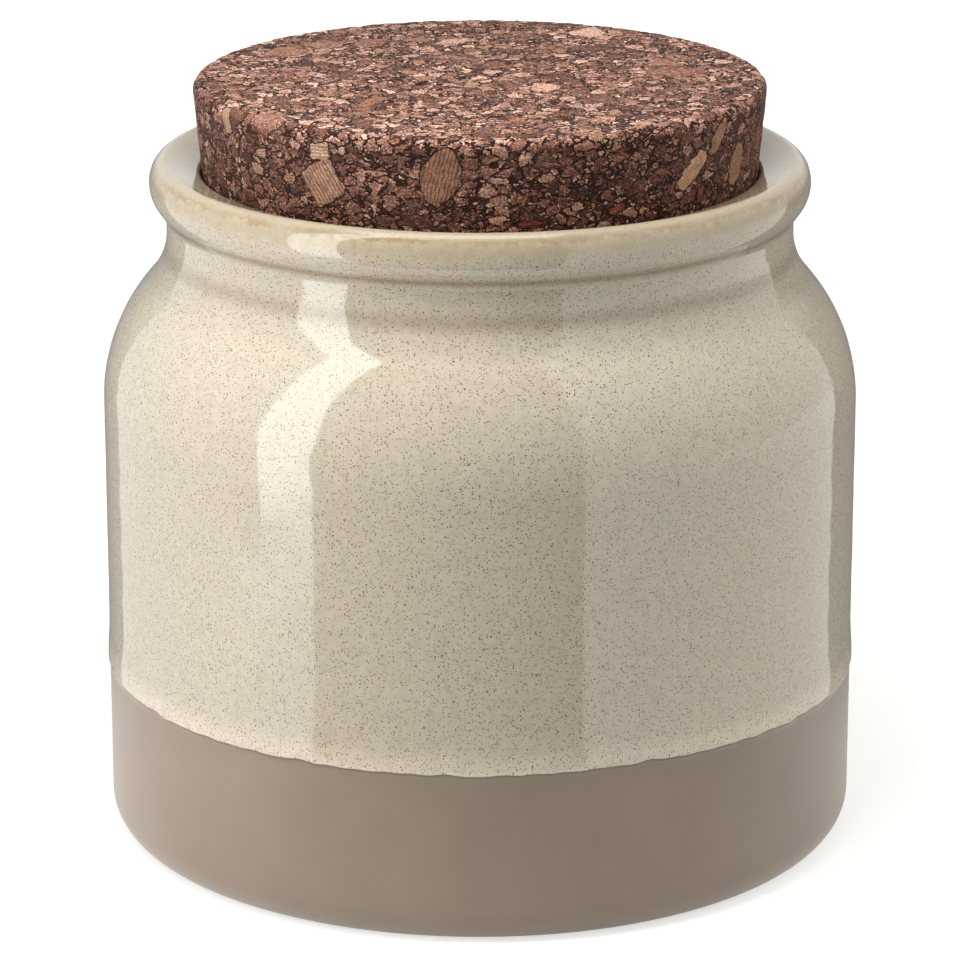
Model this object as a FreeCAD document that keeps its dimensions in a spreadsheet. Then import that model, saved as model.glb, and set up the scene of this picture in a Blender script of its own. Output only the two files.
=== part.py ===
import FreeCAD
import Part
import Sketcher
import math
import os

# A stoneware storage jar, turned about the Z axis, with a tapered cork lid
# pressed into its mouth. Millimetres. The origin is the middle of the flat
# foot, on the surface that the jar stands on, and +Z is up.
#
# The jar's outline, from the foot up: a rounded foot corner, a straight wall of
# bare clay, the roll where the thick glaze ends, the straight glazed wall, a
# round shoulder, a hollow curve into the short straight neck, the crease, and
# the rolled lip, whose rim falls towards the mouth.

# Name, value and meaning of each size. Angles are in degrees.
SIZES = [
    ("body_radius", 60.0, "outside of the straight wall"),
    ("rim_height", 109.2, "highest line of the lip above the foot"),
    ("foot_inset", 3.4, "how far the foot's flat stops inside the wall"),
    ("foot_curve", 5.8, "radius of the rounded foot corner"),
    ("glaze_line", 27.6, "height where the bare clay meets the glaze"),
    ("glaze_proud", 0.3, "how far the roll of glaze stands out of the wall"),
    ("glaze_fade", 7.0, "height over which the roll thins out to the wall"),
    ("shoulder_curve", 28.5, "radius of the round shoulder"),
    ("neck_curve", 12.5, "radius of the hollow between shoulder and neck"),
    ("neck_radius", 49.55, "outside of the straight neck"),
    ("neck_length", 2.05, "height of the straight neck"),
    ("neck_wall", 5.55, "clay between the neck's outside and the mouth"),
    ("crease_curve", 1.0, "radius in the crease under the lip"),
    ("lip_overhang", 2.6, "how far the lip stands out of the neck"),
    ("lip_under_angle", 35.0, "turn of the lip's side below its widest line"),
    ("lip_side_curve", 5.2, "radius of the lip's side"),
    ("lip_edge_angle", 20.0, "turn where the side meets the tighter edge"),
    ("lip_edge_curve", 3.0, "radius of the lip's upper outer edge"),
    ("lip_crest_angle", 60.0, "turn where the edge meets the crest"),
    ("lip_crest_curve", 1.5, "radius of the lip's crest"),
    ("rim_slope", 17.0, "fall of the rim from its crest to the mouth"),
    ("mouth_round", 0.8, "rounding of the mouth's upper edge"),
    ("cork_taper", 5.2, "lean of the cork's side and of the mouth's wall"),
    ("cork_clearance", 0.15, "gap between the cork's side and the mouth"),
    ("cork_stand", 14.4, "height of cork above the mouth's upper edge"),
    ("cork_insert", 12.0, "depth of cork inside the mouth"),
    ("cork_under_gap", 0.5, "gap under the cork"),
    ("cork_top_round", 1.5, "rounding of the cork's upper edge"),
    ("cork_foot_bevel", 0.8, "bevel of the cork's lower edge"),
]

# Sizes that follow from the ones above, as formulas of the sheet.
FOLLOWING = [
    ("lip_radius", "=neck_radius + lip_overhang", "widest line of the lip"),
    (
        "crest_radius",
        "=lip_radius - lip_side_curve"
        " + (lip_side_curve - lip_edge_curve) * cos(lip_edge_angle)"
        " + (lip_edge_curve - lip_crest_curve) * cos(lip_crest_angle)",
        "highest line of the lip",
    ),
    ("mouth_radius", "=neck_radius - neck_wall", "mouth at its upper edge"),
    (
        "mouth_height",
        "=rim_height - lip_crest_curve * (1 - cos(rim_slope))"
        " - (crest_radius - lip_crest_curve * sin(rim_slope) - mouth_radius)"
        " * tan(rim_slope)",
        "height of the mouth's upper edge",
    ),
    ("mouth_depth", "=cork_insert + cork_under_gap", "depth of the mouth"),
    (
        "mouth_floor_radius",
        "=mouth_radius - mouth_depth * tan(cork_taper)",
        "mouth at its floor",
    ),
    (
        "cork_foot_radius",
        "=mouth_radius - cork_clearance - cork_insert * tan(cork_taper)",
        "cork at its underside",
    ),
    ("cork_height", "=cork_insert + cork_stand", "whole height of the cork"),
]

# Ends of a sketched line or arc, and a sketch's own origin and upright axis.
START = 1
END = 2
CENTRE = 3
ORIGIN = (-1, 1)
AXIS = -2


def write_sheet(doc):
    """The sheet of sizes: name, value and meaning, one row each."""
    sheet = doc.addObject("Spreadsheet::Sheet", "sizes")
    for row, (name, value, meaning) in enumerate(SIZES + FOLLOWING, start=1):
        sheet.set("A%d" % row, name)
        sheet.set("B%d" % row, str(value))
        sheet.set("C%d" % row, meaning)
        sheet.setAlias("B%d" % row, name)
    doc.recompute()
    return sheet


def point(radius, height):
    return FreeCAD.Vector(radius, height, 0)


def on_circle(centre, radius, angle):
    """The point of a circle at an angle in degrees above the radial direction."""
    turn = math.radians(angle)
    return centre + point(radius * math.cos(turn), radius * math.sin(turn))


class Outline:
    """A half section in a body's XZ plane: x is the radius, y the height."""

    def __init__(self, body, name):
        self.sketch = body.newObject("Sketcher::SketchObject", name)
        planes = [f for f in body.Origin.OriginFeatures if f.Role == "XZ_Plane"]
        self.sketch.AttachmentSupport = [(planes[0], "")]
        self.sketch.MapMode = "FlatFace"

    def line(self, first, last):
        return self.sketch.addGeometry(Part.LineSegment(first, last), False)

    def arc(self, centre, radius, low, high):
        """An arc between two angles in degrees, drawn anticlockwise."""
        circle = Part.Circle(centre, FreeCAD.Vector(0, 0, 1), radius)
        arc = Part.ArcOfCircle(circle, math.radians(low), math.radians(high))
        return self.sketch.addGeometry(arc, False)

    def fix(self, kind, *where):
        """A constraint that has no size."""
        self.sketch.addConstraint(Sketcher.Constraint(kind, *where))

    def size(self, kind, name, expression, *where):
        """A constraint whose size follows the sheet."""
        value = float(self.sketch.evalExpression(expression))
        spot = self.sketch.addConstraint(Sketcher.Constraint(kind, *where, value))
        self.sketch.renameConstraint(spot, name)
        self.sketch.setExpression("Constraints." + name, expression)


def draw_foot_and_wall(outline, sizes):
    """From the middle of the foot to the top of the glaze's roll."""
    radius = sizes.body_radius
    inside = sizes.foot_curve - sizes.foot_inset
    rise = math.sqrt(sizes.foot_curve ** 2 - inside ** 2)
    turn = math.degrees(math.acos(inside / sizes.foot_curve))
    foot = outline.line(point(0, 0), point(radius - sizes.foot_inset, 0))
    centre = point(radius - sizes.foot_curve, rise)
    corner = outline.arc(centre, sizes.foot_curve, -turn, 0)
    glaze_foot = point(radius, sizes.glaze_line)
    bare_wall = outline.line(point(radius, rise), glaze_foot)
    centre = glaze_foot + point(0, sizes.glaze_proud)
    roll = outline.arc(centre, sizes.glaze_proud, -90, 0)
    fade_top = glaze_foot + point(0, sizes.glaze_fade)
    fade = outline.line(centre + point(sizes.glaze_proud, 0), fade_top)

    outline.fix("Coincident", foot, START, *ORIGIN)
    outline.fix("Horizontal", foot)
    outline.fix("Coincident", foot, END, corner, START)
    outline.fix("Tangent", corner, END, bare_wall, START)
    outline.fix("Vertical", bare_wall)
    outline.fix("Coincident", bare_wall, END, roll, START)
    outline.fix("Vertical", roll, START, roll, CENTRE)
    outline.fix("Horizontal", roll, CENTRE, roll, END)
    outline.fix("Coincident", roll, END, fade, START)
    outline.fix("Vertical", bare_wall, END, fade, END)
    outline.size("DistanceX", "wall", "sizes.body_radius", *ORIGIN, bare_wall, START)
    outline.size("DistanceX", "inset", "sizes.foot_inset", foot, END, bare_wall, START)
    outline.size("Radius", "corner", "sizes.foot_curve", corner)
    outline.size("DistanceY", "line", "sizes.glaze_line", *ORIGIN, bare_wall, END)
    outline.size("Radius", "roll", "sizes.glaze_proud", roll)
    outline.size("DistanceY", "fade", "sizes.glaze_fade", bare_wall, END, fade, END)
    return foot, fade


def draw_lip(outline, sizes):
    """The lip's three arcs, each tighter than the last, and the sloping rim."""
    centre = point(sizes.crest_radius, sizes.rim_height - sizes.lip_crest_curve)
    crest_end = 90 + sizes.rim_slope
    crest = outline.arc(centre, sizes.lip_crest_curve, sizes.lip_crest_angle, crest_end)
    rim_start = on_circle(centre, sizes.lip_crest_curve, crest_end)
    rim = outline.line(rim_start, point(sizes.mouth_radius, sizes.mouth_height))
    shift = sizes.lip_crest_curve - sizes.lip_edge_curve
    centre = on_circle(centre, shift, sizes.lip_crest_angle)
    edge = outline.arc(
        centre, sizes.lip_edge_curve, sizes.lip_edge_angle, sizes.lip_crest_angle
    )
    shift = sizes.lip_edge_curve - sizes.lip_side_curve
    centre = on_circle(centre, shift, sizes.lip_edge_angle)
    side = outline.arc(
        centre, sizes.lip_side_curve, -sizes.lip_under_angle, sizes.lip_edge_angle
    )
    side_start = on_circle(centre, sizes.lip_side_curve, -sizes.lip_under_angle)

    outline.fix("Tangent", side, END, edge, START)
    outline.fix("Tangent", edge, END, crest, START)
    outline.fix("Tangent", crest, END, rim, START)
    outline.size("Radius", "side", "sizes.lip_side_curve", side)
    outline.size("Radius", "edge", "sizes.lip_edge_curve", edge)
    outline.size("Radius", "crest", "sizes.lip_crest_curve", crest)
    widest = "sizes.lip_radius - sizes.lip_side_curve"
    outline.size("DistanceX", "widest", widest, *ORIGIN, side, CENTRE)
    under = "sizes.lip_side_curve * sin(sizes.lip_under_angle)"
    outline.size("DistanceY", "under", under, side, START, side, CENTRE)
    side_rise = "sizes.lip_side_curve * sin(sizes.lip_edge_angle)"
    outline.size("DistanceY", "side_rise", side_rise, side, CENTRE, side, END)
    edge_rise = "sizes.lip_edge_curve * sin(sizes.lip_crest_angle)"
    outline.size("DistanceY", "edge_rise", edge_rise, edge, CENTRE, edge, END)
    slope = "sizes.lip_crest_curve * sin(sizes.rim_slope)"
    outline.size("DistanceX", "slope", slope, crest, END, crest, CENTRE)
    height = "sizes.rim_height - sizes.lip_crest_curve"
    outline.size("DistanceY", "rim", height, *ORIGIN, crest, CENTRE)
    outline.size("DistanceX", "mouth", "sizes.mouth_radius", *ORIGIN, rim, END)
    return side, side_start, rim


def draw_shoulder_and_neck(outline, sizes, fade, side, side_start):
    """From the glaze's roll up to the lip, hung from the lip downwards."""
    slant = math.radians(sizes.lip_under_angle)
    drop = (side_start.x - sizes.neck_radius) / math.tan(slant)
    crease_height = side_start.y - drop - sizes.crease_curve * math.tan(slant / 2)
    neck_height = crease_height - sizes.neck_length
    neck_centre = point(sizes.neck_radius + sizes.neck_curve, neck_height)

    # The shoulder and the hollow touch on the line between their centres.
    reach = sizes.shoulder_curve + sizes.neck_curve
    across = neck_centre.x - (sizes.body_radius - sizes.shoulder_curve)
    along = math.sqrt(reach ** 2 - across ** 2)
    swing = math.degrees(math.atan2(along, across))
    shoulder_centre = neck_centre - point(across, along)

    fade_top = point(sizes.body_radius, sizes.glaze_line + sizes.glaze_fade)
    wall_top = point(sizes.body_radius, shoulder_centre.y)
    glazed_wall = outline.line(fade_top, wall_top)
    shoulder = outline.arc(shoulder_centre, sizes.shoulder_curve, 0, swing)
    hollow = outline.arc(neck_centre, sizes.neck_curve, 180, 180 + swing)
    neck_top = point(sizes.neck_radius, crease_height)
    neck = outline.line(point(sizes.neck_radius, neck_height), neck_top)
    crease_centre = neck_top + point(sizes.crease_curve, 0)
    crease_end = 180 - sizes.lip_under_angle
    crease = outline.arc(crease_centre, sizes.crease_curve, crease_end, 180)
    under_start = on_circle(crease_centre, sizes.crease_curve, crease_end)
    under = outline.line(under_start, side_start)

    outline.fix("Coincident", fade, END, glazed_wall, START)
    outline.fix("Vertical", glazed_wall)
    outline.fix("Tangent", glazed_wall, END, shoulder, START)
    outline.fix("Tangent", shoulder, END, hollow, END)
    outline.fix("Tangent", hollow, START, neck, START)
    outline.fix("Vertical", neck)
    outline.fix("Tangent", neck, END, crease, END)
    outline.fix("Tangent", crease, START, under, START)
    outline.fix("Tangent", under, END, side, START)
    outline.size("Radius", "shoulder", "sizes.shoulder_curve", shoulder)
    outline.size("Radius", "hollow", "sizes.neck_curve", hollow)
    outline.size("DistanceX", "neck", "sizes.neck_radius", *ORIGIN, neck, START)
    outline.size("DistanceY", "length", "sizes.neck_length", neck, START, neck, END)
    outline.size("Radius", "crease", "sizes.crease_curve", crease)


def close_outline(outline, sizes, foot, rim):
    """A flat across the mouth's upper edge, and the axis down to the foot."""
    middle = point(0, sizes.mouth_height)
    flat = outline.line(point(sizes.mouth_radius, sizes.mouth_height), middle)
    axis = outline.line(middle, point(0, 0))
    outline.fix("Coincident", rim, END, flat, START)
    outline.fix("Horizontal", flat)
    outline.fix("PointOnObject", flat, END, AXIS)
    outline.fix("Coincident", flat, END, axis, START)
    outline.fix("Coincident", axis, END, foot, START)


def draw_plug(body, name, foot_radius, height):
    """A tapered plug's half section, standing on its own level 0.

    foot_radius and height are expressions. The side leans by the cork's taper.
    """
    outline = Outline(body, name)
    top_radius = "%s + (%s) * tan(sizes.cork_taper)" % (foot_radius, height)
    low = float(outline.sketch.evalExpression(foot_radius))
    high = float(outline.sketch.evalExpression(top_radius))
    rise = float(outline.sketch.evalExpression(height))
    corners = [point(0, 0), point(low, 0), point(high, rise), point(0, rise)]
    sides = [outline.line(a, b) for a, b in zip(corners, corners[1:] + corners[:1])]
    underside, lean, top, axis = sides
    for first, last in zip(sides, sides[1:] + sides[:1]):
        outline.fix("Coincident", first, END, last, START)
    outline.fix("Coincident", underside, START, *ORIGIN)
    outline.fix("Horizontal", underside)
    outline.fix("Horizontal", top)
    outline.fix("PointOnObject", top, END, AXIS)
    outline.size("DistanceX", "foot", foot_radius, underside, START, underside, END)
    outline.size("DistanceX", "top", top_radius, top, END, top, START)
    outline.size("DistanceY", "height", height, axis, END, axis, START)
    return outline.sketch


def turn(body, kind, name, sketch):
    """A Revolution or a Groove once round the sketch's upright axis."""
    feature = body.newObject(kind, name)
    feature.Profile = sketch
    feature.ReferenceAxis = (sketch, ["V_Axis"])
    feature.Angle = 360
    body.Document.recompute()
    return feature


def ring_edge(feature, radius, height, tolerance=0.001):
    """The name of a feature's circular edge of a given radius and height."""
    for number, edge in enumerate(feature.Shape.Edges, start=1):
        if not isinstance(edge.Curve, Part.Circle):
            continue
        away = abs(edge.Curve.Radius - radius) + abs(edge.Curve.Center.z - height)
        if away < tolerance:
            return "Edge%d" % number
    raise RuntimeError("no ring edge of radius %g at height %g" % (radius, height))


def build_jar(doc, sizes):
    """One piece of stoneware: the turned outside, with the mouth cut into it.

    Below the mouth it is solid, because the lid keeps the inside out of sight.
    """
    body = doc.addObject("PartDesign::Body", "jar")
    outline = Outline(body, "jar_outline")
    foot, fade = draw_foot_and_wall(outline, sizes)
    side, side_start, rim = draw_lip(outline, sizes)
    draw_shoulder_and_neck(outline, sizes, fade, side, side_start)
    close_outline(outline, sizes, foot, rim)
    blank = turn(body, "PartDesign::Revolution", "turned_clay", outline.sketch)

    plug = draw_plug(body, "mouth_outline", "sizes.mouth_floor_radius", "sizes.mouth_depth")
    floor = "sizes.mouth_height - sizes.mouth_depth"
    plug.setExpression("AttachmentOffset.Base.y", floor)
    mouth = turn(body, "PartDesign::Groove", "mouth", plug)
    if mouth.Shape.Volume >= blank.Shape.Volume:
        raise RuntimeError("the mouth cut nothing")

    rounding = body.newObject("PartDesign::Fillet", "mouth_edge")
    rounding.Base = (mouth, [ring_edge(mouth, sizes.mouth_radius, sizes.mouth_height)])
    rounding.setExpression("Radius", "sizes.mouth_round")
    return body


def build_cork_lid(doc, sizes):
    """The tapered cork, seated in the mouth with an even gap round its side."""
    body = doc.addObject("PartDesign::Body", "cork_lid")
    plug = draw_plug(body, "cork_outline", "sizes.cork_foot_radius", "sizes.cork_height")
    blank = turn(body, "PartDesign::Revolution", "turned_cork", plug)

    lean = math.tan(math.radians(sizes.cork_taper))
    top_radius = sizes.cork_foot_radius + sizes.cork_height * lean
    rounding = body.newObject("PartDesign::Fillet", "cork_top_edge")
    rounding.Base = (blank, [ring_edge(blank, top_radius, sizes.cork_height)])
    rounding.setExpression("Radius", "sizes.cork_top_round")
    doc.recompute()

    bevel = body.newObject("PartDesign::Chamfer", "cork_foot_edge")
    bevel.Base = (rounding, [ring_edge(rounding, sizes.cork_foot_radius, 0)])
    bevel.setExpression("Size", "sizes.cork_foot_bevel")
    body.setExpression("Placement.Base.z", "sizes.mouth_height - sizes.cork_insert")
    return body


def check(doc, bodies):
    """Stops the build when any object failed or any piece isn't one solid."""
    for item in doc.Objects:
        if "Invalid" in item.State or "Error" in item.State:
            raise RuntimeError("%s failed: %s" % (item.Label, item.State))
    for body in bodies:
        if body.Shape.isNull() or not body.Shape.isValid():
            raise RuntimeError(body.Label + " has no valid shape")
        if len(body.Shape.Solids) != 1:
            raise RuntimeError(body.Label + " isn't one solid")


def main():
    doc = FreeCAD.newDocument("cork_lid_jar")
    sizes = write_sheet(doc)
    bodies = [build_jar(doc, sizes), build_cork_lid(doc, sizes)]
    doc.recompute()
    check(doc, bodies)
    os.makedirs("parts", exist_ok=True)
    for body in bodies:
        body.Shape.exportStep("parts/%s.step" % body.Label)
        box = body.Shape.optimalBoundingBox(True, False)
        print("%s: %.1f cm3, z %.2f to %.2f, radius %.2f" % (
            body.Label, body.Shape.Volume / 1000, box.ZMin, box.ZMax, box.XMax))


main()
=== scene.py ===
import bpy
import numpy as np
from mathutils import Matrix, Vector


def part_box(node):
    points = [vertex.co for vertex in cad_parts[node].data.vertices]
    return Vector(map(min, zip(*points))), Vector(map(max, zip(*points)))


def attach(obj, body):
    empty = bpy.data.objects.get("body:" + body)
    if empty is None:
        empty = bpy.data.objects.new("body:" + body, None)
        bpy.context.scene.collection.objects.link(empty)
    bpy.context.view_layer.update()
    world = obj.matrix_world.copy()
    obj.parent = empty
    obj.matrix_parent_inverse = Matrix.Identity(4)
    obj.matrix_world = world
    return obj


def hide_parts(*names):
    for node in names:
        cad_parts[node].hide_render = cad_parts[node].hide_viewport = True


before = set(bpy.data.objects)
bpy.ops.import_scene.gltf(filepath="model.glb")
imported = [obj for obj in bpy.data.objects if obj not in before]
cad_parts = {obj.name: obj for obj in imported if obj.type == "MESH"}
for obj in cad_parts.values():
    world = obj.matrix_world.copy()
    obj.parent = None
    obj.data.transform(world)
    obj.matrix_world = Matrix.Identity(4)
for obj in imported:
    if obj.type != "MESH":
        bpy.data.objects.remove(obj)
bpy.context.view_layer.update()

mm = 0.001                                   # sizes below are in millimetres, Blender works in metres
jarLow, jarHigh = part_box("jar")
lidLow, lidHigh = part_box("cork_lid")
print("frame loaded")


def linearColour(hexText):
    # sRGB to linear light: divide by 12.92 below the knee, raise to 2.4 above it
    parts = np.array([int(hexText[i:i + 2], 16) for i in (1, 3, 5)]) / 255
    bent = np.where(parts <= 0.04045, parts / 12.92, ((parts + 0.055) / 1.055) ** 2.4)
    return (*(float(part) for part in bent), 1.0)


def addNode(tree, kind, settings=None, **inputs):
    # one node, its kind given without the prefix, with its settings; each input is a value or another node's
    # output, and i0, i1... go by number
    node = tree.nodes.new("ShaderNode" + kind)
    for name, value in (settings or {}).items():
        setattr(node, name, value)
    for name, value in inputs.items():
        key = int(name[1:]) if name[0] == "i" and name[1:].isdigit() else name.replace("_", " ")
        if isinstance(value, bpy.types.NodeSocket):
            tree.links.new(value, node.inputs[key])
        else:
            node.inputs[key].default_value = value
    return node


def newMaterial(name):
    # an empty node material, and its tree to fill
    material = bpy.data.materials.new(name)
    material.use_nodes = True
    material.node_tree.nodes.clear()
    return material, material.node_tree


# camera
view = {
    "lens": 175.57,             # long lens, so the upright sides stay nearly parallel
    "sensor": 36.0,
    "away": 753.777,            # from the point looked at to the lens
    "above": 17.252,            # degrees above level
    "lookAt": 55.616,           # height on the jar's axis
}


def makeCamera():
    # the camera stands straight in front, some degrees above level, and looks at a point on the jar's axis
    data = bpy.data.cameras.new("camera")
    data.lens = view["lens"]
    data.sensor_width = view["sensor"]
    data.clip_start = 0.01
    camera = bpy.data.objects.new("camera", data)
    bpy.context.scene.collection.objects.link(camera)
    lift = np.radians(view["above"])
    target = Vector((0, 0, view["lookAt"] * mm))
    camera.location = target + Vector((0, -np.cos(lift), np.sin(lift))) * view["away"] * mm
    camera.rotation_euler = (target - camera.location).to_track_quat("-Z", "Y").to_euler()
    bpy.context.scene.camera = camera


makeCamera()
print("camera placed")

# turned shapes
solidGlazeEdge = 0.3                         # how far the glaze edge of the solids stands out from the body
jarShape = {
    "rimHeight": jarHigh.z / mm,
    "bodyRadius": (jarHigh.x - jarLow.x) / 2 / mm - solidGlazeEdge,
    "footInset": 3.4,           # from the body in to where the foot's curve meets the ground
    "footCurve": 5.8,
    "glazeLine": 27.6,          # height where the glaze ends
    "glazeProud": 0.28,         # a little less than in the solids, so that the ripples stay inside them
    "glazeFade": 7.0,           # height over which the thick edge thins out
    "shoulderCurve": 28.5,
    "neckCurve": 12.5,
    "neckRadius": 49.55,
    "neckLength": 2.05,
    "creaseCurve": 1.0,
    "lipRadius": 52.15,
    "lipUnderAngle": 35,
    "lipSideCurve": 5.2,
    "lipEdgeAngle": 20,
    "lipEdgeCurve": 3.0,
    "lipCrestAngle": 60,
    "lipCrestCurve": 1.5,
    "rimSlope": 17,
    "mouthRadius": 44.0,
    "mouthRound": 0.8,
    "mouthTaper": 5.2,
    "mouthDepth": 12.5,
    "edgeWander": 0.22,         # how far the glaze edge strays up and down
    "edgeSeed": 4,
    "edgeCycles": (3, 5, 8, 13, 21, 34, 47, 61, 83),
    "glazeRipple": 0.02,        # slow unevenness of the glaze
    # its waves: seed, lean up the wall, cycles round the jar
    "rippleWaves": ((11, 0.05, 7), (12, -0.07, 12), (13, 0.11, 19), (14, -0.09, 26)),
    "columns": 352,
}

corkShape = {
    "top": lidHigh.z / mm,
    "foot": lidLow.z / mm,
    "footRadius": 42.758,
    "footBevel": 0.8,
    "hiddenRun": 10.0,          # the side that the mouth hides, which needs few rows
    "taper": 5.2,
    "topRound": 1.5,
    "columns": 448,
    "seed": 21,
    "granule": 2.3,             # usual grain of the pressed cork
    "crowding": 1.2,            # grains for each grain's share of the surface
    "topShare": 0.62,           # share of the grains that lie in the top
    "sideShare": 0.6,           # share of the side that has grains of its own
    "groove": 0.13,             # depth of the joints between grains
    "grooveWidth": 0.35,
    "standoutGroove": 0.3,      # width of the joint round a listed grain
    "sunk": 0.06,               # how far a grain may lie below its neighbours
    "pit": 0.55,                # depth where a grain fell out
    "pitEdge": 0.9,
    "pitShare": 0.006,
    "holeAt": (-40.9, -16.6),   # one lost grain at the rim of the top
    "holeSize": 1.3,
    "holeDepth": 1.6,           # times the depth of a pit
}


# grains that stand out on the lid's side: azimuth from the front in degrees, height, half length, half width,
# lean of the growth lines from level in degrees, spacing of the growth lines, how square the outline is (2 is
# round), and colour
standouts = {
    "stripedSmall": (-32.5, 118.7, 2.0, 1.5, 5, 0.55, 3.0, "#B8947C"),
    "stripedBig": (-32.0, 113.9, 3.4, 3.3, -58, 0.62, 5.0, "#98725D"),
    "almond": (-7.5, 116.2, 5.0, 3.3, 76, 0.60, 1.5, "#865E4A"),
    "paleChip": (-48.0, 116.6, 1.8, 0.9, 15, 0.40, 1.8, "#A07A66"),
    "pinkChip": (-49.5, 114.1, 1.6, 1.2, -20, 0.45, 2.0, "#9E7867"),
    "edgeChip": (-59.5, 120.2, 2.6, 1.4, -65, 0.45, 2.2, "#A8846E"),
    "longTan": (46.5, 114.1, 4.3, 1.7, 42, 0.50, 2.6, "#C09678"),
    "upperTan": (54.0, 118.3, 3.4, 1.5, 58, 0.42, 2.2, "#98755C"),
    "uprightTan": (62.5, 112.6, 3.5, 2.3, 84, 0.42, 3.0, "#9A745A"),
    "redFlake": (10.0, 108.9, 2.7, 0.6, 0, 0.5, 1.8, "#743630"),
    "redChip": (27.5, 110.0, 2.1, 0.8, 22, 0.5, 1.8, "#7E4438"),
    "redUpright": (49.5, 109.9, 1.9, 0.9, 75, 0.4, 2.0, "#7C463C"),
    "backTan": (148.0, 115.0, 3.6, 2.0, 35, 0.5, 2.4, "#A37D66"),
    "backBrown": (-160.0, 113.0, 3.8, 2.8, -40, 0.5, 1.6, "#8C6450"),
    "sideTan": (101.0, 114.5, 3.4, 1.8, 60, 0.5, 3.0, "#A37E68"),
    "sideBrown": (-104.0, 112.5, 3.2, 2.6, -70, 0.5, 1.7, "#91695A"),
}


def arc(centre, radius, start, end, count):
    # points on a circle at evenly spaced angles, in degrees from start to end
    turn = np.radians(np.linspace(start, end, count))
    return np.column_stack((centre[0] + radius * np.cos(turn), centre[1] + radius * np.sin(turn)))


def run(start, end, count):
    # evenly spaced points on a straight line, without its last point
    share = np.linspace(0, 1, count, endpoint=False)[:, None]
    return np.asarray(start) * (1 - share) + np.asarray(end) * share


def along(centre, radius, angle):
    # the one point on a circle at an angle in degrees
    turn = np.radians(angle)
    return np.array((centre[0] + radius * np.cos(turn), centre[1] + radius * np.sin(turn)))


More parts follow.
